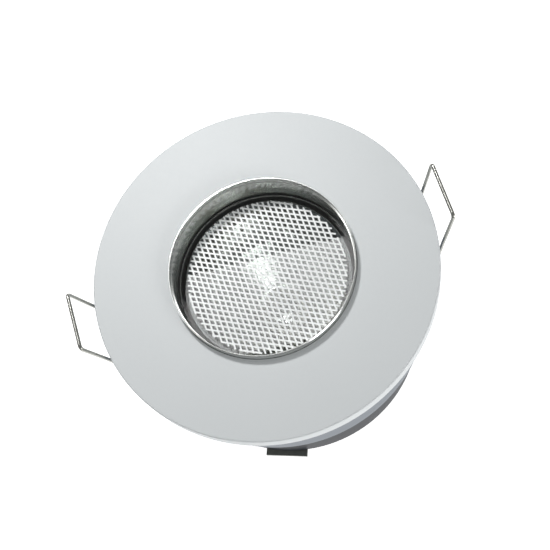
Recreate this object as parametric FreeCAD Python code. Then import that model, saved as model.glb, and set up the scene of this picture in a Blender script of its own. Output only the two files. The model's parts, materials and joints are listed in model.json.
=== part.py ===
"""Recessed ceiling downlight for a 12 V reflector lamp, lying on its back.

Millimetres, +Z out of the front face. The origin is on the lamp axis in the plane of
the foam ring's seat on the trim's back. The ceiling lies against the trim's skirt,
SKIRT_DEPTH behind it. The two spring clips lie on the X axis.
"""
import FreeCAD, Part
import math
import os

V = FreeCAD.Vector
X_AXIS = V(1, 0, 0)
Y_AXIS = V(0, 1, 0)
Z_AXIS = V(0, 0, 1)

# Trim ring
TRIM_R = 47.5
TRIM_T = 3.2
TRIM_EDGE_ROUND = 0.4
SKIRT_DEPTH = 1.4
SKIRT_INNER_R = 46.4
BORE_R = 25.7
SPIGOT_R = 29.0
SPIGOT_DEPTH = 14.0
POST_COUNT = 3
POST_PITCH_R = 34.6
POST_R = 3.2
SCREW_R = 1.5
SCREW_HOLE_R = 1.65
BODY_SCREW_LENGTH = 12.0
RIB_GAP = 0.4
RIB_T = 1.6
RIB_DEPTH = 3.0
JOIN_OVERLAP = 0.5
CUT_MARGIN = 1.0
EDGE_TOL = 0.01
HEAD_ROUND_RATIO = 0.45
RECESS_RATIO = 0.5

# Screw proportions, as multiples of the shank radius
HEAD_R_RATIO = 1.9
HEAD_H_RATIO = 1.1
RECESS_W_RATIO = 0.5
RECESS_L_RATIO = 2.2

# Housing ring behind the trim, and the lamp can behind it
HOUSING_R = 43.2
HOUSING_WALL = 2.2
HOUSING_DEPTH = 25.8
WEB_T = 2.0
WEB_INNER_R = 31.0
HOUSING_CHAMFER = 0.6
CAN_R = 39.0
CAN_WALL = 0.8
CAN_BACK_Z = -52.0
CAN_TOP_FLANGE_INNER_R = 31.0
CAN_BACK_FLANGE_INNER_R = 31.0
CAN_CORNER = 0.9

# Ceiling gasket and the seal round the bezel
GASKET_IN_R = 44.6
GASKET_OUT_R = 46.2
GASKET_T = 1.7
ORING_SECTION_R = 0.7
ORING_GAP = 0.05
GROOVE_EXTRA = 0.05
ORING_Z = -7.5

# Bezel ring and glass
BEZEL_R = 25.6
LIP_TOP_Z = TRIM_T + 2.4
LIP_INNER_R = 25.15
LIP_ROUND = 0.2
STEP_Z = TRIM_T + 0.6
STEP_R = 24.95
LEDGE_R = 24.7
GLASS_TOP_Z = TRIM_T - 6.4
GLASS_T = 3.0
GLASS_R = 25.0
GLASS_EDGE = 0.3
REAR_BORE_R = 25.15
BEZEL_BACK_Z = -16.0
LEDGE_T = 1.0
SEAL_T = 0.8
SEAL_INNER_R = 23.4

# Reflector lamp
LAMP_RIM_R = 24.95
LAMP_RIM_T = 3.4
LAMP_NECK_R = 8.2
LAMP_NECK_Z = -39.5
LAMP_WALL = 1.6
BOWL_INSET = 0.8
BOWL_STEP = 1.0
BOWL_STEPS = 9
CAPSULE_R = 4.2
CAPSULE_TIP_Z = -22.0
BASE_SIZE = (13.6, 9.4)
BASE_BACK_Z = -47.8
BASE_CORNER = 1.2
PLUG_H = 2.5
PLUG_GAP = 0.05
PLUG_HOLE_R = 1.5
PINCH_SIZE = (5.6, 2.6, 4.0)
PIN_SPACING = 5.33
PIN_R = 0.75
PIN_END_Z = -54.6
LAMP_CLIP_SECTION_R = 0.45
LAMP_CLIP_GAP_DEG = 24.0
LAMP_CLIP_CLEARANCE = 0.05
LAMP_CLIP_TURN_DEG = 57.0

# Bracket, lampholder and terminal block, set out along the bracket's length
BRACKET_ANGLE = -110.8
BRACKET_W = 12.6
BRACKET_T = 1.0
BRACKET_END = 40.4
BRACKET_LEG = 30.5
BRACKET_SCREW_U = 34.8
BRACKET_SCREW_LENGTH = 5.5
NUT_CORNER_R = 3.0
NUT_SIDES = 6
NUT_TURN_DEG = 30.0
NUT_H = 2.4
BRIDGE_Z = -61.0
BEND_R = 0.9
SPARE_HOLE_U = -20.0
SPARE_HOLE_R = 2.1
INLET_Z = -57.0
INLET_HOLE_R = 2.5
GROMMET_FLANGE_R = 3.05
GROMMET_BORE_R = 1.8
GROMMET_LENGTH = 4.0
GROMMET_ROUND = 0.5
HOLDER_R = 9.2
HOLDER_TOP_Z = -48.4
HOLDER_FLAT_V = 7.0
HOLDER_SCREW_V = 4.3
HOLDER_SCREW_R = 1.2
COUNTERBORE_R = 2.4
COUNTERBORE_DEPTH = 3.0
PIN_ENTRY_R = 1.0
PIN_ENTRY_DEPTH = 1.5
LEAD_HOLE_DEPTH = 3.2
LEAD_TUCK = 2.6
CONTACT_R = 1.55
CONTACT_BORE_R = 0.8
CONTACT_LENGTH = 7.0
BLOCK_U = (15.5, 25.5)
BLOCK_W = 12.0
BLOCK_H = 10.0
BARREL_R = 1.8
BARREL_BORE_R = 1.25
BARREL_INSET = 0.8
BLOCK_CHAMFER = 0.6
WELL_R = 1.3
WELL_U = 2.9
CLAMP_SCREW_R = 1.0
CLAMP_SCREW_SINK = 1.2
CLAMP_SLOT = (0.4, 2.4, 0.6)
POLE_V = 3.4
BLOCK_SCREW_R = 1.4
LEAD_R = 0.95
LEAD_BEND_R = 5.5
LEAD_HOLDER_Z = -57.4
LEAD_BLOCK_Z = -56.0

# Spring clips
PIVOT_X = 41.1
PIVOT_Z = -30.5
WIRE_R = 0.55
PIVOT_PIN_R = 1.0
COIL_R = 1.65
COIL_TURNS = 3
COIL_PITCH = 1.0
CLIP_HALF_W = 8.1
CLIP_BEND = (48.1, -3.1)
CLIP_TOP = (51.4, 11.6)
CLIP_CORNER_R = 1.1
CLIP_BEND_R = 12.0
EAR_T = 0.8
EAR_OUTER_Y = 5.3
EAR_R = 2.3
CLIP_BASE_T = 0.8
CLIP_BASE_Z = (-37.2, -28.2)
CLIP_RIVET_Z = -34.6
CLIP_RIVET_R = 1.1
RIVET_TAIL_R = 1.8
RIVET_TAIL_T = 0.6
RIVET_TAIL_GAP = 0.1
RIVET_HEAD_R = 2.0
RIVET_HEAD_H = 0.9
RIVET_ROUND = 0.5
PIN_END_GAP = 0.4
PIN_HEAD_R = 1.7
PIN_HEAD_T = 0.8


def cylinder(radius, z_low, z_high, x=0.0, y=0.0):
    """Upright cylinder between two heights."""
    return Part.makeCylinder(radius, z_high - z_low, V(x, y, z_low), Z_AXIS)


def tube(outer_r, inner_r, z_low, z_high, x=0.0, y=0.0):
    """Upright tube between two heights."""
    bore = cylinder(inner_r, z_low - CUT_MARGIN, z_high + CUT_MARGIN, x, y)
    return cylinder(outer_r, z_low, z_high, x, y).cut(bore)


def revolve(outline):
    """Solid of revolution about Z of a closed (radius, height) outline."""
    points = [V(r, 0, z) for r, z in outline]
    face = Part.Face(Part.makePolygon(points + [points[0]]))
    return face.revolve(V(0, 0, 0), Z_AXIS, 360)


def torus(mean_r, section_r, z):
    """Ring of round section lying flat at a height."""
    return Part.makeTorus(mean_r, section_r, V(0, 0, z), Z_AXIS)


def around(radius, count, start_deg=90.0):
    """Places evenly round the axis, as (x, y)."""
    angles = [math.radians(start_deg + 360.0 * i / count) for i in range(count)]
    return [(radius * math.cos(a), radius * math.sin(a)) for a in angles]


def fuse_all(shapes):
    """One solid from shapes that overlap or touch."""
    first = shapes[0]
    return first.multiFuse(shapes[1:]).removeSplitter()


def turned(shape):
    """Turn a shape laid out along the bracket to the bracket's place."""
    turned_shape = shape.copy()
    turned_shape.rotate(V(0, 0, 0), Z_AXIS, BRACKET_ANGLE)
    return turned_shape


def mirrored(shape):
    """The same piece on the opposite side of the lamp axis."""
    return shape.mirror(V(0, 0, 0), X_AXIS)


def pan_screw(x, y, z_head, length, radius, upward=True):
    """Pan-head screw whose head sits on z_head, its shank along Z, with a cross recess."""
    head_h = radius * HEAD_H_RATIO
    sign = 1 if upward else -1
    shank = Part.makeCylinder(radius, length, V(x, y, z_head), V(0, 0, sign))
    head = Part.makeCylinder(radius * HEAD_R_RATIO, head_h, V(x, y, z_head), V(0, 0, -sign))
    rim = [e for e in head.Edges if abs(e.BoundBox.Center.z - (z_head - sign * head_h)) < 1e-6
           and e.BoundBox.ZLength < 1e-6]
    head = head.makeFillet(head_h * HEAD_ROUND_RATIO, rim[:1])
    slot_w = radius * RECESS_W_RATIO
    slot_l = radius * RECESS_L_RATIO
    recess_z = z_head - sign * head_h
    z_low = recess_z if upward else recess_z - head_h * RECESS_RATIO
    cross = Part.makeBox(slot_l, slot_w, head_h * RECESS_RATIO, V(x - slot_l / 2, y - slot_w / 2, z_low))
    other = Part.makeBox(slot_w, slot_l, head_h * RECESS_RATIO, V(x - slot_w / 2, y - slot_l / 2, z_low))
    return shank.fuse(head).cut(cross).cut(other)


def tangent_path(points, radii):
    """Wire of straight runs joined by tangent arcs at the inner points."""
    edges = []
    last = points[0]
    for i, radius in enumerate(radii, start=1):
        corner = points[i]
        back = (points[i - 1] - corner).normalize()
        ahead = (points[i + 1] - corner).normalize()
        half = back.getAngle(ahead) / 2
        reach = radius / math.tan(half)
        start = corner + back * reach
        end = corner + ahead * reach
        middle_dir = (back + ahead).normalize()
        centre = corner + middle_dir * (radius / math.sin(half))
        middle = centre - middle_dir * radius
        edges.append(Part.LineSegment(last, start).toShape())
        edges.append(Part.Arc(start, middle, end).toShape())
        last = end
    edges.append(Part.LineSegment(last, points[-1]).toShape())
    return Part.Wire(edges)


def round_rod(path, radius):
    """Solid rod of round section along a path."""
    start = path.Edges[0]
    ring = Part.makeCircle(radius, start.valueAt(start.FirstParameter),
                           start.tangentAt(start.FirstParameter))
    return path.makePipe(Part.Face(Part.Wire([ring])))


def trim_ring():
    """White cast ring: flat front, skirt round the gasket, spigot and three screw posts."""
    plate = tube(TRIM_R, BORE_R, -SKIRT_DEPTH, TRIM_T)
    plate = plate.cut(cylinder(SKIRT_INNER_R, -SKIRT_DEPTH - CUT_MARGIN, 0))
    outer = [e for e in plate.Edges if e.Closed and abs(e.BoundBox.XLength - 2 * TRIM_R) < EDGE_TOL]
    plate = plate.makeFillet(TRIM_EDGE_ROUND, outer)
    spigot = tube(SPIGOT_R, BORE_R, -SPIGOT_DEPTH, JOIN_OVERLAP)
    post_end = -HOUSING_DEPTH + WEB_T
    posts = [cylinder(POST_R, post_end, JOIN_OVERLAP, x, y) for x, y in around(POST_PITCH_R, POST_COUNT)]
    rib_out = HOUSING_R - HOUSING_WALL - RIB_GAP
    rib = tube(rib_out, rib_out - RIB_T, -RIB_DEPTH, JOIN_OVERLAP)
    shape = fuse_all([plate, spigot, rib] + posts)
    groove = torus(BEZEL_R + ORING_GAP + ORING_SECTION_R, ORING_SECTION_R + GROOVE_EXTRA, ORING_Z)
    shape = shape.cut(groove)
    for x, y in around(POST_PITCH_R, POST_COUNT):
        shape = shape.cut(cylinder(SCREW_R, post_end - CUT_MARGIN, post_end + BODY_SCREW_LENGTH, x, y))
    return shape


def ceiling_gasket():
    """Foam ring inside the trim's skirt, a little proud of it before the ceiling squeezes it."""
    return tube(GASKET_OUT_R, GASKET_IN_R, -GASKET_T, 0)


def bezel_oring():
    """Silicone ring in the spigot's groove that grips and seals the bezel."""
    return torus(BEZEL_R + ORING_GAP + ORING_SECTION_R, ORING_SECTION_R, ORING_Z)


def housing_ring():
    """Cast ring behind the trim, with an inward web that carries the lamp can."""
    inner = HOUSING_R - HOUSING_WALL
    low = -HOUSING_DEPTH
    chamfer = HOUSING_CHAMFER
    shape = revolve([(inner, 0), (HOUSING_R, 0), (HOUSING_R, low + chamfer), (HOUSING_R - chamfer, low),
                     (WEB_INNER_R, low), (WEB_INNER_R, low + WEB_T), (inner, low + WEB_T)])
    for x, y in around(POST_PITCH_R, POST_COUNT):
        shape = shape.cut(cylinder(SCREW_HOLE_R, low - CUT_MARGIN, low + WEB_T + CUT_MARGIN, x, y))
    return shape


def lamp_can():
    """Drawn steel can with a turned-in flange at each end, open at the back."""
    top = -HOUSING_DEPTH
    wall_in = CAN_R - CAN_WALL
    corner = CAN_CORNER
    shape = revolve([(CAN_TOP_FLANGE_INNER_R, top), (CAN_R - corner, top), (CAN_R, top - corner),
                     (CAN_R, CAN_BACK_Z + corner), (CAN_R - corner, CAN_BACK_Z),
                     (CAN_BACK_FLANGE_INNER_R, CAN_BACK_Z),
                     (CAN_BACK_FLANGE_INNER_R, CAN_BACK_Z + CAN_WALL),
                     (wall_in, CAN_BACK_Z + CAN_WALL), (wall_in, top - CAN_WALL),
                     (CAN_TOP_FLANGE_INNER_R, top - CAN_WALL)])
    for x, y in around(POST_PITCH_R, POST_COUNT):
        shape = shape.cut(cylinder(SCREW_HOLE_R, top - CAN_WALL - CUT_MARGIN, top + CUT_MARGIN, x, y))
    for side in (1, -1):
        rivet_hole = Part.makeCylinder(CLIP_RIVET_R, 2 * (CAN_WALL + CUT_MARGIN),
                                       V(side * (CAN_R - 2 * CAN_WALL), 0, CLIP_RIVET_Z), V(side, 0, 0))
        shape = shape.cut(rivet_hole)
    for u in (BRACKET_SCREW_U, -BRACKET_SCREW_U):
        hole = cylinder(SCREW_HOLE_R, CAN_BACK_Z - CUT_MARGIN, CAN_BACK_Z + CAN_WALL + CUT_MARGIN, u, 0)
        shape = shape.cut(turned(hole))
    return shape


def body_screws():
    """Three screws through the can and housing ring into the trim's posts."""
    z_head = -HOUSING_DEPTH - CAN_WALL
    screws = [pan_screw(x, y, z_head, BODY_SCREW_LENGTH, SCREW_R)
              for x, y in around(POST_PITCH_R, POST_COUNT)]
    return Part.makeCompound(screws)


def bezel_ring():
    """Polished ring with a thin raised lip, an inner step, a glass ledge and a long skirt."""
    return revolve([(BEZEL_R, BEZEL_BACK_Z), (BEZEL_R, LIP_TOP_Z - LIP_ROUND),
                    (BEZEL_R - LIP_ROUND, LIP_TOP_Z), (LIP_INNER_R + LIP_ROUND, LIP_TOP_Z),
                    (LIP_INNER_R, LIP_TOP_Z - LIP_ROUND), (LIP_INNER_R, STEP_Z),
                    (STEP_R, STEP_Z), (LEDGE_R, GLASS_TOP_Z + LEDGE_T), (LEDGE_R, GLASS_TOP_Z),
                    (REAR_BORE_R, GLASS_TOP_Z), (REAR_BORE_R, BEZEL_BACK_Z)])


def safety_glass():
    """Flat toughened glass disc with eased edges."""
    disc = cylinder(GLASS_R, GLASS_TOP_Z - GLASS_T, GLASS_TOP_Z)
    rims = [e for e in disc.Edges if e.Closed]
    return disc.makeChamfer(GLASS_EDGE, rims)


def glass_seal():
    """Flat silicone ring between the glass and the lamp's rim."""
    top = GLASS_TOP_Z - GLASS_T
    return tube(GLASS_R, SEAL_INNER_R, top - SEAL_T, top)


def lamp_front_z():
    """Height of the lamp rim's front face."""
    return GLASS_TOP_Z - GLASS_T - SEAL_T


def bowl_curve(radius, depth, neck_r, steps):
    """Points of an elliptic bowl from its mouth to its neck, as (radius, depth below the mouth)."""
    last = math.acos(neck_r / radius)
    full = depth / math.sin(last)
    angles = [last * i / steps for i in range(steps + 1)]
    return [(radius * math.cos(a), full * math.sin(a)) for a in angles]


def lamp_reflector():
    """Pressed glass reflector: a rim, an elliptic bowl and an open neck."""
    front = lamp_front_z()
    back = front - LAMP_RIM_T
    mouth = front - BOWL_STEP
    outer = bowl_curve(LAMP_RIM_R - BOWL_INSET, back - LAMP_NECK_Z, LAMP_NECK_R, BOWL_STEPS)
    inner_r = LAMP_RIM_R - LAMP_WALL - BOWL_INSET
    inner = bowl_curve(inner_r, mouth - LAMP_NECK_Z, LAMP_NECK_R - LAMP_WALL, BOWL_STEPS)
    outline = [(LAMP_RIM_R, front), (LAMP_RIM_R, back)]
    outline += [(r, back - d) for r, d in outer]
    outline += [(r, mouth - d) for r, d in reversed(inner)]
    outline += [(LAMP_RIM_R - LAMP_WALL, front)]
    return revolve(outline)


def lamp_base():
    """Ceramic stub that closes the neck and holds the pins."""
    plug = cylinder(LAMP_NECK_R - LAMP_WALL - PLUG_GAP, LAMP_NECK_Z, LAMP_NECK_Z + PLUG_H)
    length, width = BASE_SIZE
    block = Part.makeBox(length, width, LAMP_NECK_Z - BASE_BACK_Z, V(-length / 2, -width / 2, BASE_BACK_Z))
    uprights = [e for e in block.Edges if e.BoundBox.ZLength > 1]
    block = block.makeFillet(BASE_CORNER, uprights)
    shape = plug.fuse(block)
    for x in (PIN_SPACING / 2, -PIN_SPACING / 2):
        shape = shape.cut(cylinder(PIN_R, BASE_BACK_Z - CUT_MARGIN, LAMP_NECK_Z, x, 0))
    return turned(shape.cut(cylinder(PLUG_HOLE_R, LAMP_NECK_Z, LAMP_NECK_Z + PLUG_H + CUT_MARGIN)))


def lamp_pins():
    """Two plug-in pins with rounded ends."""
    pins = []
    for x in (PIN_SPACING / 2, -PIN_SPACING / 2):
        shaft = cylinder(PIN_R, PIN_END_Z + PIN_R, LAMP_NECK_Z, x, 0)
        pins.append(turned(shaft.fuse(Part.makeSphere(PIN_R, V(x, 0, PIN_END_Z + PIN_R)))))
    return Part.makeCompound(pins)


def lamp_capsule():
    """Quartz capsule that stands in the reflector's neck."""
    low = LAMP_NECK_Z + PLUG_H
    body = cylinder(CAPSULE_R, low + PLUG_H, CAPSULE_TIP_Z - CAPSULE_R)
    dome = Part.makeSphere(CAPSULE_R, V(0, 0, CAPSULE_TIP_Z - CAPSULE_R))
    length, width, height = PINCH_SIZE
    pinch = Part.makeBox(length, width, height, V(-length / 2, -width / 2, low))
    return body.fuse(dome).fuse(pinch).removeSplitter()


def lamp_clip():
    """Open spring-wire ring inside the skirt that keeps the lamp against the glass seal."""
    mean_r = REAR_BORE_R - LAMP_CLIP_SECTION_R - LAMP_CLIP_CLEARANCE
    z = lamp_front_z() - LAMP_RIM_T - LAMP_CLIP_SECTION_R - LAMP_CLIP_CLEARANCE
    section = Part.makeCircle(LAMP_CLIP_SECTION_R, V(mean_r, 0, z), Y_AXIS)
    face = Part.Face(Part.Wire([section]))
    ring = face.revolve(V(0, 0, 0), Z_AXIS, 360 - LAMP_CLIP_GAP_DEG)
    ring.rotate(V(0, 0, 0), Z_AXIS, LAMP_CLIP_TURN_DEG)
    return ring


def holder_bracket():
    """Steel strap bent to a hat section: two feet on the can's back, two legs and a bridge."""
    foot_top = CAN_BACK_Z
    foot_low = foot_top - BRACKET_T
    leg_in = BRACKET_LEG - BRACKET_T
    outline = [(-BRACKET_END, foot_low), (-BRACKET_END, foot_top), (-leg_in, foot_top)]
    outline += [(-leg_in, BRIDGE_Z), (leg_in, BRIDGE_Z), (leg_in, foot_top)]
    outline += [(BRACKET_END, foot_top), (BRACKET_END, foot_low), (BRACKET_LEG, foot_low)]
    outline += [(BRACKET_LEG, BRIDGE_Z - BRACKET_T), (-BRACKET_LEG, BRIDGE_Z - BRACKET_T)]
    outline += [(-BRACKET_LEG, foot_low)]
    points = [V(u, -BRACKET_W / 2, z) for u, z in outline]
    face = Part.Face(Part.makePolygon(points + [points[0]]))
    strap = face.extrude(V(0, BRACKET_W, 0))
    bends = [(-leg_in, BRIDGE_Z, BEND_R), (leg_in, BRIDGE_Z, BEND_R),
             (BRACKET_LEG, BRIDGE_Z - BRACKET_T, BEND_R + BRACKET_T),
             (-BRACKET_LEG, BRIDGE_Z - BRACKET_T, BEND_R + BRACKET_T),
             (leg_in, foot_top, BEND_R + BRACKET_T), (-leg_in, foot_top, BEND_R + BRACKET_T),
             (BRACKET_LEG, foot_low, BEND_R), (-BRACKET_LEG, foot_low, BEND_R)]
    for u, z, radius in bends:
        edges = [e for e in strap.Edges if e.BoundBox.YLength > BRACKET_W - EDGE_TOL
                 and abs(e.BoundBox.Center.x - u) < EDGE_TOL and abs(e.BoundBox.Center.z - z) < EDGE_TOL]
        strap = strap.makeFillet(radius, edges)
    holes = [(BRACKET_SCREW_U, 0, SCREW_HOLE_R), (-BRACKET_SCREW_U, 0, SCREW_HOLE_R),
             (SPARE_HOLE_U, 0, SPARE_HOLE_R), (sum(BLOCK_U) / 2, 0, BLOCK_SCREW_R)]
    holes += [(0, v, HOLDER_SCREW_R) for v in (HOLDER_SCREW_V, -HOLDER_SCREW_V)]
    for u, v, radius in holes:
        strap = strap.cut(cylinder(radius, BRIDGE_Z - BRACKET_T - CUT_MARGIN, CAN_BACK_Z + CUT_MARGIN, u, v))
    inlet_start = V(leg_in - CUT_MARGIN, 0, INLET_Z)
    inlet = Part.makeCylinder(INLET_HOLE_R, BRACKET_T + 2 * CUT_MARGIN, inlet_start, X_AXIS)
    return turned(strap.cut(inlet))


def inlet_grommet():
    """Rubber grommet that lines the wire inlet in the bracket's leg."""
    middle = BRACKET_LEG - BRACKET_T / 2
    start = V(middle - GROMMET_LENGTH / 2, 0, INLET_Z)
    body = Part.makeCylinder(GROMMET_FLANGE_R, GROMMET_LENGTH, start, X_AXIS)
    rims = [e for e in body.Edges if e.Closed]
    body = body.makeFillet(GROMMET_ROUND, rims)
    leg_face = V(middle - BRACKET_T / 2, 0, INLET_Z)
    groove = Part.makeCylinder(GROMMET_FLANGE_R + CUT_MARGIN, BRACKET_T, leg_face, X_AXIS)
    groove = groove.cut(Part.makeCylinder(INLET_HOLE_R, BRACKET_T, leg_face, X_AXIS))
    bore = Part.makeCylinder(GROMMET_BORE_R, GROMMET_LENGTH, start, X_AXIS)
    return turned(body.cut(groove).cut(bore))


def bracket_screws():
    """Two screws through the bracket's feet and the can's back flange."""
    z_head = CAN_BACK_Z - BRACKET_T
    screws = [turned(pan_screw(u, 0, z_head, BRACKET_SCREW_LENGTH, SCREW_R))
              for u in (BRACKET_SCREW_U, -BRACKET_SCREW_U)]
    return Part.makeCompound(screws)


def bracket_nuts():
    """Two hexagon nuts inside the can."""
    nuts = []
    z_low = CAN_BACK_Z + CAN_WALL
    angles = [math.radians(NUT_TURN_DEG + 360.0 * i / NUT_SIDES) for i in range(NUT_SIDES)]
    for u in (BRACKET_SCREW_U, -BRACKET_SCREW_U):
        corners = [V(u + NUT_CORNER_R * math.cos(a), NUT_CORNER_R * math.sin(a), z_low) for a in angles]
        face = Part.Face(Part.makePolygon(corners + [corners[0]]))
        thread = cylinder(SCREW_R, z_low - CUT_MARGIN, z_low + NUT_H + CUT_MARGIN, u, 0)
        nuts.append(turned(face.extrude(V(0, 0, NUT_H)).cut(thread)))
    return Part.makeCompound(nuts)


def lampholder():
    """Ceramic two-pin lampholder with lead holes towards the terminal block."""
    body = cylinder(HOLDER_R, BRIDGE_Z, HOLDER_TOP_Z)
    height = HOLDER_TOP_Z - BRIDGE_Z
    slab = Part.makeBox(2 * HOLDER_R, 2 * HOLDER_FLAT_V, height, V(-HOLDER_R, -HOLDER_FLAT_V, BRIDGE_Z))
    body = body.common(slab)
    contact_top = HOLDER_TOP_Z - PIN_ENTRY_DEPTH
    for x in (PIN_SPACING / 2, -PIN_SPACING / 2):
        body = body.cut(cylinder(PIN_ENTRY_R, contact_top, HOLDER_TOP_Z + CUT_MARGIN, x, 0))
        body = body.cut(cylinder(CONTACT_R, contact_top - CONTACT_LENGTH, contact_top, x, 0))
    for v in (HOLDER_SCREW_V, -HOLDER_SCREW_V):
        body = body.cut(cylinder(HOLDER_SCREW_R, BRIDGE_Z - CUT_MARGIN, HOLDER_TOP_Z + CUT_MARGIN, 0, v))
        seat = HOLDER_TOP_Z - COUNTERBORE_DEPTH
        body = body.cut(cylinder(COUNTERBORE_R, seat, HOLDER_TOP_Z + CUT_MARGIN, 0, v))
    for v in (POLE_V, -POLE_V):
        start = V(HOLDER_R - LEAD_HOLE_DEPTH, v, LEAD_HOLDER_Z)
        hole = Part.makeCylinder(LEAD_R, LEAD_HOLE_DEPTH + CUT_MARGIN, start, X_AXIS)
        body = body.cut(hole)
    return turned(body)


def holder_contacts():
    """Two brass sleeves that grip the lamp's pins."""
    sleeves = []
    z_high = HOLDER_TOP_Z - PIN_ENTRY_DEPTH
    for x in (PIN_SPACING / 2, -PIN_SPACING / 2):
        sleeve = tube(CONTACT_R, CONTACT_BORE_R, z_high - CONTACT_LENGTH, z_high, x, 0)
        sleeves.append(turned(sleeve))
    return Part.makeCompound(sleeves)


def holder_screws():
    """Two screws that fix the lampholder to the bridge."""
    z_head = HOLDER_TOP_Z - COUNTERBORE_DEPTH
    length = z_head - BRIDGE_Z + BRACKET_T
    screws = [turned(pan_screw(0, v, z_head, length, HOLDER_SCREW_R, upward=False))
              for v in (HOLDER_SCREW_V, -HOLDER_SCREW_V)]
    return Part.makeCompound(screws)


def terminal_block():
    """Ceramic two-pole block with through holes for the wires and wells for the clamp screws."""
    u_low, u_high = BLOCK_U
    block = Part.makeBox(u_high - u_low, BLOCK_W, BLOCK_H, V(u_low, -BLOCK_W / 2, BRIDGE_Z))
    top = BRIDGE_Z + BLOCK_H
    block = block.makeChamfer(BLOCK_CHAMFER, [e for e in block.Edges if e.BoundBox.ZMin > top - 0.1])
    middle = (u_low + u_high) / 2
    length = u_high - u_low + 2 * CUT_MARGIN
    for v in (POLE_V, -POLE_V):
        start = V(u_low - CUT_MARGIN, v, LEAD_BLOCK_Z)
        block = block.cut(Part.makeCylinder(BARREL_R, length, start, X_AXIS))
        for u in (middle - WELL_U, middle + WELL_U):
            block = block.cut(cylinder(WELL_R, LEAD_BLOCK_Z, top + CUT_MARGIN, u, v))
    well = cylinder(BLOCK_SCREW_R, BRIDGE_Z - CUT_MARGIN, top + CUT_MARGIN, middle, 0)
    return turned(block.cut(well))


def terminal_barrels():
    """Two brass barrels that join the wires."""
    u_low, u_high = BLOCK_U
    length = u_high - u_low - 2 * BARREL_INSET
    middle = (u_low + u_high) / 2
    barrels = []
    for v in (POLE_V, -POLE_V):
        start = V(u_low + BARREL_INSET, v, LEAD_BLOCK_Z)
        barrel = Part.makeCylinder(BARREL_R, length, start, X_AXIS)
        barrel = barrel.cut(Part.makeCylinder(BARREL_BORE_R, length, start, X_AXIS))
        for u in (middle - WELL_U, middle + WELL_U):
            barrel = barrel.cut(cylinder(CLAMP_SCREW_R, LEAD_BLOCK_Z, LEAD_BLOCK_Z + BARREL_R, u, v))
        barrels.append(turned(barrel))
    return Part.makeCompound(barrels)


def terminal_screws():
    """Four slotted clamp screws in the block's wells."""
    middle = sum(BLOCK_U) / 2
    screws = []
    top = BRIDGE_Z + BLOCK_H - CLAMP_SCREW_SINK
    width, length, depth = CLAMP_SLOT
    for v in (POLE_V, -POLE_V):
        for u in (middle - WELL_U, middle + WELL_U):
            screw = cylinder(CLAMP_SCREW_R, LEAD_BLOCK_Z + CLAMP_SCREW_R, top, u, v)
            slot = Part.makeBox(width, length, depth, V(u - width / 2, v - length / 2, top - depth))
            screws.append(turned(screw.cut(slot)))
    return Part.makeCompound(screws)


def block_screw():
    """Screw that fixes the terminal block to the bridge."""
    z_top = BRIDGE_Z + BLOCK_H
    length = BLOCK_H + BRACKET_T
    return turned(pan_screw(sum(BLOCK_U) / 2, 0, z_top, length, BLOCK_SCREW_R, upward=False))


def holder_lead(v):
    """Sleeved lead from the lampholder to one pole of the terminal block."""
    start_u = HOLDER_R - LEAD_TUCK
    end_u = BLOCK_U[0] + BARREL_INSET
    run = (end_u - start_u) / 3
    points = [V(start_u, v, LEAD_HOLDER_Z), V(start_u + run, v, LEAD_HOLDER_Z),
              V(end_u - run, v, LEAD_BLOCK_Z), V(end_u, v, LEAD_BLOCK_Z)]
    return turned(round_rod(tangent_path(points, [LEAD_BEND_R, LEAD_BEND_R]), LEAD_R))


def spring_clip():
    """Wire clip on the +X side: coils round the pin, two legs and a cross-bar in one wire."""
    foot_x = PIVOT_X + COIL_R
    y = CLIP_HALF_W
    points = [V(foot_x, y, PIVOT_Z), V(CLIP_BEND[0], y, CLIP_BEND[1]), V(CLIP_TOP[0], y, CLIP_TOP[1]),
              V(CLIP_TOP[0], -y, CLIP_TOP[1]), V(CLIP_BEND[0], -y, CLIP_BEND[1]), V(foot_x, -y, PIVOT_Z)]
    wire = round_rod(tangent_path(points, [CLIP_BEND_R, CLIP_CORNER_R, CLIP_CORNER_R, CLIP_BEND_R]), WIRE_R)
    coils = []
    for side in (1, -1):
        for turn in range(COIL_TURNS):
            centre = V(PIVOT_X, side * (y - turn * COIL_PITCH), PIVOT_Z)
            coils.append(Part.makeTorus(COIL_R, WIRE_R, centre, Y_AXIS))
    return fuse_all([wire] + coils)


def clip_bracket():
    """Folded steel bracket riveted to the can, with two ears for the clip's pin."""
    z_low, z_high = CLIP_BASE_Z
    base = Part.makeBox(CLIP_BASE_T, 2 * EAR_OUTER_Y, z_high - z_low, V(CAN_R, -EAR_OUTER_Y, z_low))
    shapes = [base]
    for side in (1, -1):
        y_low = EAR_OUTER_Y - EAR_T if side > 0 else -EAR_OUTER_Y
        nose = Part.makeCylinder(EAR_R, EAR_T, V(PIVOT_X, y_low, PIVOT_Z), Y_AXIS)
        arm = Part.makeBox(PIVOT_X - CAN_R, EAR_T, 2 * EAR_R, V(CAN_R, y_low, PIVOT_Z - EAR_R))
        shapes += [nose, arm]
    shape = fuse_all(shapes)
    reach = EAR_OUTER_Y + CUT_MARGIN
    shape = shape.cut(Part.makeCylinder(PIVOT_PIN_R, 2 * reach, V(PIVOT_X, -reach, PIVOT_Z), Y_AXIS))
    return shape.cut(Part.makeCylinder(CLIP_RIVET_R, 10, V(CAN_R - 5, 0, CLIP_RIVET_Z), X_AXIS))


def clip_pin():
    """Headed pin through the bracket's ears and the clip's coils."""
    reach = CLIP_HALF_W + WIRE_R + PIN_END_GAP
    shaft = Part.makeCylinder(PIVOT_PIN_R, 2 * reach, V(PIVOT_X, -reach, PIVOT_Z), Y_AXIS)
    heads = [Part.makeCylinder(PIN_HEAD_R, PIN_HEAD_T, V(PIVOT_X, y, PIVOT_Z), Y_AXIS)
             for y in (reach, -reach - PIN_HEAD_T)]
    return fuse_all([shaft] + heads)


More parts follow.
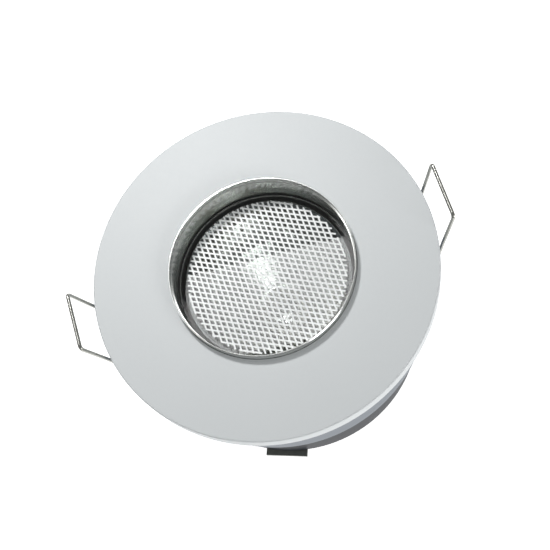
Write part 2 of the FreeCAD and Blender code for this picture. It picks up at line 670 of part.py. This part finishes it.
def clip_rivet():
    """Domed rivet that holds the clip bracket to the can."""
    inner_x = CAN_R - CAN_WALL
    outer_x = CAN_R + CLIP_BASE_T
    tail_x = inner_x - RIVET_TAIL_GAP - RIVET_TAIL_T
    shank = Part.makeCylinder(CLIP_RIVET_R, outer_x - tail_x, V(tail_x, 0, CLIP_RIVET_Z), X_AXIS)
    tail = Part.makeCylinder(RIVET_TAIL_R, RIVET_TAIL_T, V(tail_x, 0, CLIP_RIVET_Z), X_AXIS)
    head = Part.makeCylinder(RIVET_HEAD_R, RIVET_HEAD_H, V(outer_x, 0, CLIP_RIVET_Z), X_AXIS)
    rim = [e for e in head.Edges if e.Closed and abs(e.BoundBox.Center.x - outer_x - RIVET_HEAD_H) < 1e-6]
    return fuse_all([shank, tail, head.makeFillet(RIVET_ROUND, rim)])


def build_nodes():
    """Every node of the downlight by name."""
    right_clip = {
        "spring_clip_right": spring_clip(),
        "clip_bracket_right": clip_bracket(),
        "clip_pin_right": clip_pin(),
        "clip_rivet_right": clip_rivet(),
    }
    left_clip = {name.replace("_right", "_left"): mirrored(shape) for name, shape in right_clip.items()}
    nodes = {
        "trim_ring": trim_ring(),
        "ceiling_gasket": ceiling_gasket(),
        "bezel_oring": bezel_oring(),
        "housing_ring": housing_ring(),
        "lamp_can": lamp_can(),
        "body_screws": body_screws(),
        "bezel_ring": bezel_ring(),
        "safety_glass": safety_glass(),
        "glass_seal": glass_seal(),
        "lamp_reflector": lamp_reflector(),
        "lamp_base": lamp_base(),
        "lamp_pins": lamp_pins(),
        "lamp_capsule": lamp_capsule(),
        "lamp_clip": lamp_clip(),
        "holder_bracket": holder_bracket(),
        "bracket_screws": bracket_screws(),
        "bracket_nuts": bracket_nuts(),
        "inlet_grommet": inlet_grommet(),
        "lampholder": lampholder(),
        "holder_contacts": holder_contacts(),
        "holder_screws": holder_screws(),
        "terminal_block": terminal_block(),
        "terminal_barrels": terminal_barrels(),
        "terminal_screws": terminal_screws(),
        "block_screw": block_screw(),
        "lead_live": holder_lead(POLE_V),
        "lead_neutral": holder_lead(-POLE_V),
    }
    nodes.update(right_clip)
    nodes.update(left_clip)
    return nodes


os.makedirs("parts", exist_ok=True)
for node_name, node_shape in build_nodes().items():
    node_shape.exportStep("parts/" + node_name + ".step")
    box = node_shape.BoundBox
    print(node_name, "solids", len(node_shape.Solids), "valid", node_shape.isValid(),
          "volume", round(node_shape.Volume, 2), "z", round(box.ZMin, 2), round(box.ZMax, 2))
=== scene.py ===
"""Looks of the recessed ceiling downlight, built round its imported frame.

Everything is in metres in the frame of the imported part: +Z out of the lit front,
the origin on the lamp axis at the foam ring's seat on the trim's back.
"""
import json
import logging
import math
from dataclasses import dataclass, field
from enum import Enum

import bmesh
import bpy
from mathutils import Matrix, Vector


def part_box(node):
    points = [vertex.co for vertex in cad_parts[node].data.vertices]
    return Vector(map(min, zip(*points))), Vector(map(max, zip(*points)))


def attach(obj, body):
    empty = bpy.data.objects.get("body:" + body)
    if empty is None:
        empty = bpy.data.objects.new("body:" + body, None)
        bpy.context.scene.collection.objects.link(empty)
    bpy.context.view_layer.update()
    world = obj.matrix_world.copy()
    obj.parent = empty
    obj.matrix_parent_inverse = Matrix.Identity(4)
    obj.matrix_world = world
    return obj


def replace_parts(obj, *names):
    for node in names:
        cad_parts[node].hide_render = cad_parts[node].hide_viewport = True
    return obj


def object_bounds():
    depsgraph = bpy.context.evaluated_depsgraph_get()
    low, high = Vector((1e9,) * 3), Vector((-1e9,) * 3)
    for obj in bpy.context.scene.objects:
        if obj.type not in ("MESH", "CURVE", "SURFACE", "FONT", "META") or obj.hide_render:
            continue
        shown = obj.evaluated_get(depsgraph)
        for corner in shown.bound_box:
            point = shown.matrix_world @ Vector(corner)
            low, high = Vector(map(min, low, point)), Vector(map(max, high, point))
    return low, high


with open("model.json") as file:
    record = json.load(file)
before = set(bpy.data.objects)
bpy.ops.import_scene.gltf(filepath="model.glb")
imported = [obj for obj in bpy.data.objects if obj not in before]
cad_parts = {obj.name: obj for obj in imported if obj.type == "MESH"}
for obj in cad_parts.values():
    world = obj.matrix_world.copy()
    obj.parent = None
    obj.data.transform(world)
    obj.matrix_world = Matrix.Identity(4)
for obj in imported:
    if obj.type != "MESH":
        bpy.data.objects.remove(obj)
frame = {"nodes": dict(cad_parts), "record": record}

CAD_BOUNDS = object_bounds()
MM = 0.001
SLOW_SCALE = 55.0
SLOW_DETAIL = 3.0
FINE_DETAIL = 5.0
WEAR_SPREAD = (0.12, 0.42)
BUMP_DEPTH = 0.2 * MM
MERGE_DIST = 1e-7
RING_TOL = 1e-6
log = logging.getLogger("downlight")


class Body(Enum):
    """Rigid bodies of the downlight that new pieces ride on."""

    HOUSING = "housing"
    FRONT = "front_unit"
    CLIP_RIGHT = "clip_right"
    CLIP_LEFT = "clip_left"


class Texture(Enum):
    """How a finish varies over its surface."""

    GRAIN = "grain"
    DRAWN = "drawn"
    TURNED = "turned"


STRETCHES: dict[Texture, tuple[float, float, float]] = {
    Texture.GRAIN: (1.0, 1.0, 1.0),
    Texture.DRAWN: (1.0, 1.0, 0.06),
    Texture.TURNED: (0.03, 0.03, 1.0),
}


# --- shader groups -------------------------------------------------------------


def add_socket(group: bpy.types.NodeTree, name: str, kind: str, output: bool = False,
               value: float | None = None) -> None:
    """Add one socket to a shader group.

    Args:
        group: The group that gets the socket.
        name: The socket's name.
        kind: Float or Color.
        output: True for an output socket.
        value: Starting value of a Float input.
    """
    way = "OUTPUT" if output else "INPUT"
    made = group.interface.new_socket(name, in_out=way, socket_type="NodeSocket" + kind)
    if value is not None:
        made.default_value = value


class SurfaceGroup:
    """Shader group that gives a finish its slow tint changes, fine grain and small wear."""

    def __init__(self, texture: Texture) -> None:
        """Build the group for one kind of texture.

        Args:
            texture: Even grain, streaks along the lamp axis, or turned lines round it.
        """
        self.tree = bpy.data.node_groups.new("surface_" + texture.value, "ShaderNodeTree")
        for name in ("Base", "Worn"):
            add_socket(self.tree, name, "Color")
        for name, value in (("Scale", 300.0), ("Rough Low", 0.3), ("Rough High", 0.5), ("Amount", 0.5)):
            add_socket(self.tree, name, "Float", value=value)
        add_socket(self.tree, "Color", "Color", output=True)
        for name in ("Roughness", "Height"):
            add_socket(self.tree, name, "Float", output=True)
        self.stretch = STRETCHES[texture]
        self._wire()

    def _noise(self, vector: bpy.types.NodeSocket, scale: bpy.types.NodeSocket | float,
               detail: float) -> bpy.types.Node:
        """Place one noise texture.

        Args:
            vector: Where it reads its place from.
            scale: A fixed scale, or a socket that gives it.
            detail: How many finer layers it has.

        Returns:
            The noise node.
        """
        node = self.tree.nodes.new("ShaderNodeTexNoise")
        node.inputs["Detail"].default_value = detail
        self.tree.links.new(vector, node.inputs["Vector"])
        if isinstance(scale, float):
            node.inputs["Scale"].default_value = scale
        else:
            self.tree.links.new(scale, node.inputs["Scale"])
        return node

    def _wire(self) -> None:
        """Join the group's nodes."""
        nodes, links = self.tree.nodes, self.tree.links
        given = nodes.new("NodeGroupInput")
        made = nodes.new("NodeGroupOutput")
        place = nodes.new("ShaderNodeTexCoord")
        turn = nodes.new("ShaderNodeMapping")
        turn.inputs["Scale"].default_value = self.stretch
        links.new(place.outputs["Object"], turn.inputs["Vector"])
        slow = self._noise(turn.outputs["Vector"], SLOW_SCALE, SLOW_DETAIL)
        fine = self._noise(turn.outputs["Vector"], given.outputs["Scale"], FINE_DETAIL)
        blend = nodes.new("ShaderNodeMath")
        blend.operation = "MULTIPLY"
        links.new(slow.outputs["Fac"], blend.inputs[0])
        links.new(fine.outputs["Fac"], blend.inputs[1])
        spread = nodes.new("ShaderNodeMapRange")
        spread.inputs["From Min"].default_value = WEAR_SPREAD[0]
        spread.inputs["From Max"].default_value = WEAR_SPREAD[1]
        links.new(blend.outputs["Value"], spread.inputs["Value"])
        share = nodes.new("ShaderNodeMath")
        share.operation = "MULTIPLY"
        links.new(spread.outputs["Result"], share.inputs[0])
        links.new(given.outputs["Amount"], share.inputs[1])
        colour = nodes.new("ShaderNodeMix")
        colour.data_type = "RGBA"
        links.new(share.outputs["Value"], colour.inputs["Factor"])
        links.new(given.outputs["Base"], colour.inputs["A"])
        links.new(given.outputs["Worn"], colour.inputs["B"])
        rough = nodes.new("ShaderNodeMapRange")
        links.new(fine.outputs["Fac"], rough.inputs["Value"])
        links.new(given.outputs["Rough Low"], rough.inputs["To Min"])
        links.new(given.outputs["Rough High"], rough.inputs["To Max"])
        links.new(colour.outputs["Result"], made.inputs["Color"])
        links.new(rough.outputs["Result"], made.inputs["Roughness"])
        links.new(fine.outputs["Fac"], made.inputs["Height"])


@dataclass
class GroupShelf:
    """Keeps each shader group so that it is built once."""

    made: dict[Texture, SurfaceGroup] = field(default_factory=dict)

    def get(self, texture: Texture) -> bpy.types.NodeTree:
        """Find a texture's shader group, and build it the first time it is asked for.

        Args:
            texture: The texture the group gives.

        Returns:
            The group's node tree.
        """
        if texture not in self.made:
            self.made[texture] = SurfaceGroup(texture)
        return self.made[texture].tree


SHELF = GroupShelf()


@dataclass(frozen=True)
class Finish:
    """One surface finish and the material it becomes."""

    name: str
    base: tuple[float, float, float]
    worn: tuple[float, float, float]
    rough: tuple[float, float]
    metallic: float = 0.0
    scale: float = 900.0
    amount: float = 0.5
    bump: float = 0.05
    coat: float = 0.0
    transmission: float = 0.0
    ior: float = 1.5
    glow: float = 0.0
    texture: Texture = Texture.GRAIN

    def material(self) -> bpy.types.Material:
        """Build the material.

        Returns:
            The material, with its group, bump and shader joined.
        """
        material = bpy.data.materials.new(self.name)
        material.use_nodes = True
        nodes, links = material.node_tree.nodes, material.node_tree.links
        shader = nodes["Principled BSDF"]
        shader.inputs["Metallic"].default_value = self.metallic
        shader.inputs["IOR"].default_value = self.ior
        shader.inputs["Coat Weight"].default_value = self.coat
        shader.inputs["Transmission Weight"].default_value = self.transmission
        shader.inputs["Emission Strength"].default_value = self.glow
        group = nodes.new("ShaderNodeGroup")
        group.node_tree = SHELF.get(self.texture)
        group.inputs["Base"].default_value = (*self.base, 1.0)
        group.inputs["Worn"].default_value = (*self.worn, 1.0)
        group.inputs["Scale"].default_value = self.scale
        group.inputs["Rough Low"].default_value = self.rough[0]
        group.inputs["Rough High"].default_value = self.rough[1]
        group.inputs["Amount"].default_value = self.amount
        bump = nodes.new("ShaderNodeBump")
        bump.inputs["Strength"].default_value = self.bump
        bump.inputs["Distance"].default_value = BUMP_DEPTH
        links.new(group.outputs["Color"], shader.inputs["Base Color"])
        links.new(group.outputs["Roughness"], shader.inputs["Roughness"])
        links.new(group.outputs["Height"], bump.inputs["Height"])
        links.new(bump.outputs["Normal"], shader.inputs["Normal"])
        return material


FINISHES: dict[str, Finish] = {
    "white_paint": Finish("white_enamel", (0.62, 0.645, 0.65), (0.59, 0.615, 0.62), (0.46, 0.56),
                          scale=1400.0, amount=0.35, bump=0.03),
    "foam": Finish("pale_foam", (0.70, 0.70, 0.67), (0.58, 0.58, 0.55), (0.8, 0.95), scale=1800.0, bump=0.5),
    "silicone": Finish("milky_silicone", (0.62, 0.62, 0.60), (0.52, 0.52, 0.50), (0.35, 0.5)),
    # Housing collar: a grey casting whose base is made darker and bluer than the metal, to paint the shade the collar
    # stands in; the lighter turned lines are grain.
    "cast_grey": Finish("grey_casting_with_painted_shade", (0.12, 0.14, 0.165), (0.21, 0.24, 0.275), (0.30, 0.46),
                        metallic=0.6, scale=1500.0, amount=0.8, bump=0.10, texture=Texture.TURNED),
    # Lamp can: a dark heat-resistant coat, with its base pushed near-black to paint the deeper shade behind the trim.
    "dark_coat": Finish("dark_heat_coat_with_painted_shade", (0.018, 0.021, 0.026), (0.050, 0.056, 0.066), (0.36, 0.52),
                        metallic=0.15, ior=1.28, scale=1300.0, amount=0.8, bump=0.10, texture=Texture.TURNED),
    "zinc_steel": Finish("zinc_plate", (0.55, 0.56, 0.56), (0.44, 0.44, 0.42), (0.25, 0.42), metallic=1.0),
    "chrome_ring": Finish("polished_chrome", (0.80, 0.81, 0.79), (0.70, 0.71, 0.68), (0.15, 0.25),
                          metallic=1.0, amount=0.4, bump=0.01),
    "clear_glass": Finish("toughened_glass", (0.94, 0.97, 0.95), (0.91, 0.95, 0.93), (0.0, 0.03),
                          transmission=1.0, ior=1.5, bump=0.0),
    "mirror_coat": Finish("lamp_glass_back", (0.42, 0.44, 0.46), (0.33, 0.35, 0.37), (0.12, 0.24), metallic=0.6),
    "white_ceramic": Finish("unglazed_ceramic", (0.78, 0.75, 0.68), (0.68, 0.65, 0.58), (0.55, 0.75),
                            scale=1600.0, bump=0.25),
    "nickel_pin": Finish("nickel_wire", (0.66, 0.64, 0.60), (0.50, 0.48, 0.44), (0.18, 0.32), metallic=1.0),
    "quartz": Finish("quartz_glass", (0.98, 0.98, 0.98), (0.95, 0.95, 0.95), (0.0, 0.04),
                     transmission=1.0, ior=1.46, bump=0.0),
    "spring_wire": Finish("bright_wire", (0.50, 0.50, 0.47), (0.26, 0.26, 0.23), (0.12, 0.26),
                          metallic=1.0, scale=700.0, amount=0.6, texture=Texture.DRAWN),
    "bracket_steel": Finish("dull_strap", (0.25, 0.26, 0.235), (0.34, 0.34, 0.31), (0.34, 0.52),
                            metallic=0.85, scale=900.0, amount=0.6, bump=0.08),
    "black_rubber": Finish("inlet_rubber", (0.025, 0.025, 0.025), (0.05, 0.05, 0.048), (0.5, 0.7), bump=0.2),
    "brass_part": Finish("machined_brass", (0.66, 0.47, 0.20), (0.48, 0.34, 0.14), (0.2, 0.36), metallic=1.0),
    "lead_sleeve": Finish("woven_lead", (0.78, 0.76, 0.70), (0.62, 0.60, 0.54), (0.6, 0.8), scale=2200.0, bump=0.6),
    "rivet_alloy": Finish("rivet_alloy", (0.58, 0.60, 0.61), (0.46, 0.48, 0.49), (0.3, 0.45), metallic=1.0),
}
PRINT_FINISH = Finish("fired_white_print", (0.93, 0.95, 0.94), (0.88, 0.90, 0.89), (0.45, 0.6),
                      scale=1500.0, amount=0.4, bump=0.05)
FACET_FINISH = Finish("faceted_mirror", (0.86, 0.87, 0.86), (0.74, 0.75, 0.74), (0.06, 0.16),
                      metallic=1.0, scale=500.0, amount=0.5, bump=0.02)
FLOOR_FINISH = Finish("pale_floor", (0.93, 0.93, 0.93), (0.92, 0.92, 0.92), (0.6, 0.7), scale=20.0, bump=0.0,
                      glow=0.88)


# --- the carried-over parts ----------------------------------------------------


@dataclass
class CadDress:
    """Gives every carried-over node its finish."""

    materials: dict[str, bpy.types.Material] = field(default_factory=dict)

    def finish(self, slot: str) -> bpy.types.Material:
        """Find a slot's material, and build it the first time it is asked for.

        Args:
            slot: The record's name for the material.

        Returns:
            The material.
        """
        if slot not in self.materials:
            self.materials[slot] = FINISHES[slot].material()
        return self.materials[slot]

    def dress(self) -> None:
        """Put the finish of its slot on each node."""
        slots = {row["node"]: row["material_slot"] for row in frame["record"]["subparts"]}
        for name, node in sorted(frame["nodes"].items()):
            node.data.materials.clear()
            node.data.materials.append(self.finish(slots[name]))
            log.info("%s dressed as %s", name, slots[name])


# --- new pieces ----------------------------------------------------------------


def finish_piece(mesh: bmesh.types.BMesh, name: str, materials: list[bpy.types.Material], body: Body,
                 smooth: bool = False) -> bpy.types.Object:
    """Make a finished object from a bmesh and ride it on its body.

    Args:
        mesh: The piece's mesh, in place. It is freed.
        name: The piece's name.
        materials: Its materials in slot order.
        body: The body it moves with.
        smooth: True to shade it smooth.

    Returns:
        The new object.
    """
    data = bpy.data.meshes.new(name)
    for face in mesh.faces:
        face.smooth = smooth
    mesh.to_mesh(data)
    mesh.free()
    for material in materials:
        data.materials.append(material)
    piece = bpy.data.objects.new(name, data)
    bpy.context.scene.collection.objects.link(piece)
    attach(piece, body.value)
    log.info("%s made, %d faces, on %s", name, len(data.polygons), body.value)
    return piece


@dataclass
class PrintedMesh:
    """White lattice fired onto the front of the glass: two sets of thin parallel lines."""

    pitch: float = 1.46 * MM
    line_w: float = 0.50 * MM
    thickness: float = 0.02 * MM
    radius: float = 22.1 * MM
    stub: float = 0.5 * MM
    directions_deg: tuple[float, float] = (-28.4, -88.6)
    lift: float = 0.004 * MM

    def _line(self, mesh: bmesh.types.BMesh, turn: Matrix, offset: float, height: float) -> None:
        """Add one line of the lattice.

        Args:
            mesh: The bmesh it goes in.
            turn: The set's direction.
            offset: The line's distance from the lamp axis.
            height: The height of its middle.
        """
        length = 2 * math.sqrt(self.radius ** 2 - offset ** 2) + self.stub
        size = Matrix.Diagonal((length, self.line_w, self.thickness, 1.0))
        place = turn @ Matrix.Translation((0.0, offset, height)) @ size
        bmesh.ops.create_cube(mesh, size=1.0, matrix=place)

    def build(self) -> bpy.types.Object:
        """Build the lattice.

        Returns:
            The lattice, riding on the front unit.
        """
        glass_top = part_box("safety_glass")[1].z
        mesh = bmesh.new()
        count = int(self.radius / self.pitch)
        for layer, degrees in enumerate(self.directions_deg):
            turn = Matrix.Rotation(math.radians(degrees), 4, "Z")
            height = glass_top + self.lift * (layer + 1) + self.thickness / 2
            for step in range(-count, count + 1):
                self._line(mesh, turn, step * self.pitch, height)
        piece = finish_piece(mesh, "glass_print", [PRINT_FINISH.material()], Body.FRONT)
        return piece


@dataclass
class ReflectorLamp:
    """Pressed glass lamp bowl with staggered mirror facets inside and a smooth coated back."""

    rim_r: float = 24.95 * MM
    rim_t: float = 3.4 * MM
    wall: float = 1.6 * MM
    inset: float = 0.8 * MM
    step: float = 1.0 * MM
    neck_r: float = 8.2 * MM
    segments: int = 40
    rows: int = 9

    def _curve(self, radius: float, neck_r: float, mouth: float, neck: float) -> list[Vector]:
        """Points of an elliptic bowl from mouth to neck.

        Args:
            radius: Radius at the mouth.
            neck_r: Radius at the neck.
            mouth: Height of the mouth.
            neck: Height of the neck.

        Returns:
            The points in the XZ plane.
        """
        last = math.acos(neck_r / radius)
        full = (mouth - neck) / math.sin(last)
        angles = [last * i / self.rows for i in range(self.rows + 1)]
        return [Vector((radius * math.cos(a), 0.0, mouth - full * math.sin(a))) for a in angles]

    def _shell(self, mesh: bmesh.types.BMesh, profile: list[Vector]) -> list[bmesh.types.BMFace]:
        """Spin a profile all the way round the lamp axis.

        Args:
            mesh: The bmesh it goes in.
            profile: The profile's points.

        Returns:
            The faces that the spin made.
        """
        corners = [mesh.verts.new(point) for point in profile]
        edges = [mesh.edges.new(pair) for pair in zip(corners, corners[1:])]
        before = set(mesh.faces)
        bmesh.ops.spin(mesh, geom=corners + edges, cent=(0, 0, 0), axis=(0, 0, 1),
                       angle=math.tau, steps=self.segments, use_merge=True)
        return [face for face in mesh.faces if face not in before]

    def _stagger(self, mesh: bmesh.types.BMesh, curve: list[Vector]) -> None:
        """Turn every second ring of the bowl by half a facet, so the facets interlock.

        Args:
            mesh: The bmesh that holds the bowl.
            curve: The points that its inner side was spun from.
        """
        half = Matrix.Rotation(math.pi / self.segments, 4, "Z")
        for point in curve[1:-1:2]:
            ring = [v for v in mesh.verts if abs(v.co.z - point.z) < RING_TOL
                    and abs(math.hypot(v.co.x, v.co.y) - point.x) < RING_TOL]
            bmesh.ops.transform(mesh, matrix=half, verts=ring)

    def build(self, back: bpy.types.Material) -> bpy.types.Object:
        """Build the lamp bowl in place of its plain node.

        Args:
            back: The material of the bowl's back.

        Returns:
            The bowl, riding on the front unit.
        """
        low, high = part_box("lamp_reflector")
        front, neck = high.z, low.z
        inner = self._curve(self.rim_r - self.wall - self.inset, self.neck_r - self.wall, front - self.step, neck)
        outer = self._curve(self.rim_r - self.inset, self.neck_r, front - self.rim_t, neck)
        rim = [Vector((self.rim_r, 0, front - self.rim_t)), Vector((self.rim_r, 0, front)),
               Vector((self.rim_r - self.wall, 0, front))]
        mesh = bmesh.new()
        facets = self._shell(mesh, inner)
        plain = self._shell(mesh, [inner[-1]] + list(reversed(outer)) + rim + [inner[0]])
        for face in plain:
            face.material_index = 1
        self._stagger(mesh, inner)
        bmesh.ops.remove_doubles(mesh, verts=mesh.verts, dist=MERGE_DIST)
        bmesh.ops.triangulate(mesh, faces=[f for f in facets if f.is_valid])
        bmesh.ops.recalc_face_normals(mesh, faces=mesh.faces)
        piece = finish_piece(mesh, "lamp_bowl", [FACET_FINISH.material(), back], Body.FRONT)
        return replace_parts(piece, "lamp_reflector")


# --- studio --------------------------------------------------------------------


@dataclass
class SoftLight:
    """One soft rectangular lamp aimed at the downlight."""

    name: str
    place: tuple[float, float, float]
    size: tuple[float, float]
    power: float
    turn_deg: float = 0.0

    def build(self) -> bpy.types.Object:
        """Build the light, aimed at the origin.

        Returns:
            The light object.
        """
        data = bpy.data.lights.new(self.name, "AREA")
        data.shape = "RECTANGLE"
        data.size, data.size_y = self.size
        data.energy = self.power
        lamp = bpy.data.objects.new(self.name, data)
        aim = (-Vector(self.place)).to_track_quat("-Z", "Y").to_matrix().to_4x4()
        lamp.matrix_world = Matrix.Translation(self.place) @ aim @ Matrix.Rotation(math.radians(self.turn_deg), 4, "Z")
        bpy.context.scene.collection.objects.link(lamp)
        return lamp


@dataclass
class Studio:
    """Pale floor, soft lights, pale surroundings and the camera."""

    camera_place: tuple[float, float, float] = (0.0169, -0.1118, 0.2648)
    camera_right: tuple[float, float, float] = (0.9413, -0.2905, -0.1720)
    camera_up: tuple[float, float, float] = (0.3338, 0.8770, 0.3455)
    camera_back: tuple[float, float, float] = (0.0505, -0.3826, 0.9225)
    lens: float = 69.28
    sensor_w: float = 36.0
    clip: tuple[float, float] = (0.005, 20.0)
    floor_half: float = 3.0
    floor_gap: float = 0.2 * MM
    sky_tint: tuple[float, float, float] = (0.97, 0.985, 1.0)
    sky_span: tuple[float, float] = (0.05, 0.75)
    sky: float = 0.32
    horizon: float = 0.20
    lights: tuple[SoftLight, ...] = (
        SoftLight("key_near", (-0.035, 0.192, 0.28), (0.05, 0.05), 0.74),
        SoftLight("panel", (-0.060, 0.355, 0.93), (0.32, 0.11), 0.42, -14.0),
        SoftLight("fill_low", (0.50, -0.76, 0.34), (0.5, 0.3), 3.0),
    )

    def floor(self) -> None:
        """Lay the floor just under what the part lies on."""
        mesh = bmesh.new()
        rest = Matrix.Translation((0, 0, CAD_BOUNDS[0].z - self.floor_gap))
        bmesh.ops.create_grid(mesh, x_segments=2, y_segments=2, size=self.floor_half, matrix=rest)
        data = bpy.data.meshes.new("floor")
        mesh.to_mesh(data)
        mesh.free()
        data.materials.append(FLOOR_FINISH.material())
        ground = bpy.data.objects.new("floor", data)
        bpy.context.scene.collection.objects.link(ground)

    def surroundings(self) -> None:
        """Set the surroundings: pale overhead, dark at the horizon."""
        world = bpy.data.worlds.new("studio")
        world.use_nodes = True
        nodes, links = world.node_tree.nodes, world.node_tree.links
        place = nodes.new("ShaderNodeTexCoord")
        parts = nodes.new("ShaderNodeSeparateXYZ")
        links.new(place.outputs["Generated"], parts.inputs["Vector"])
        height = nodes.new("ShaderNodeMapRange")
        height.inputs["From Min"].default_value = self.sky_span[0]
        height.inputs["From Max"].default_value = self.sky_span[1]
        height.inputs["To Min"].default_value = self.horizon
        height.inputs["To Max"].default_value = self.sky
        links.new(parts.outputs["Z"], height.inputs["Value"])
        shade = nodes["Background"]
        shade.inputs["Color"].default_value = (*self.sky_tint, 1.0)
        links.new(height.outputs["Result"], shade.inputs["Strength"])
        bpy.context.scene.world = world

    def camera(self) -> None:
        """Place the camera."""
        data = bpy.data.cameras.new("camera")
        data.lens = self.lens
        data.sensor_width = self.sensor_w
        data.clip_start, data.clip_end = self.clip
        eye = bpy.data.objects.new("camera", data)
        turn = Matrix((self.camera_right, self.camera_up, self.camera_back)).transposed()
        eye.matrix_world = Matrix.Translation(self.camera_place) @ turn.to_4x4()
        bpy.context.scene.collection.objects.link(eye)
        bpy.context.scene.camera = eye

    def build(self) -> None:
        """Build the whole studio."""
        self.floor()
        self.surroundings()
        for light in self.lights:
            light.build()
        self.camera()
        bpy.context.scene.view_settings.view_transform = "Standard"
        log.info("studio built")


def main() -> None:
    """Build the downlight's looks and the studio."""
    logging.basicConfig(level=logging.INFO, format="%(name)s: %(message)s")
    dress = CadDress()
    dress.dress()
    PrintedMesh().build()
    ReflectorLamp().build(dress.finish("mirror_coat"))
    Studio().build()


if __name__ == "__main__":
    main()
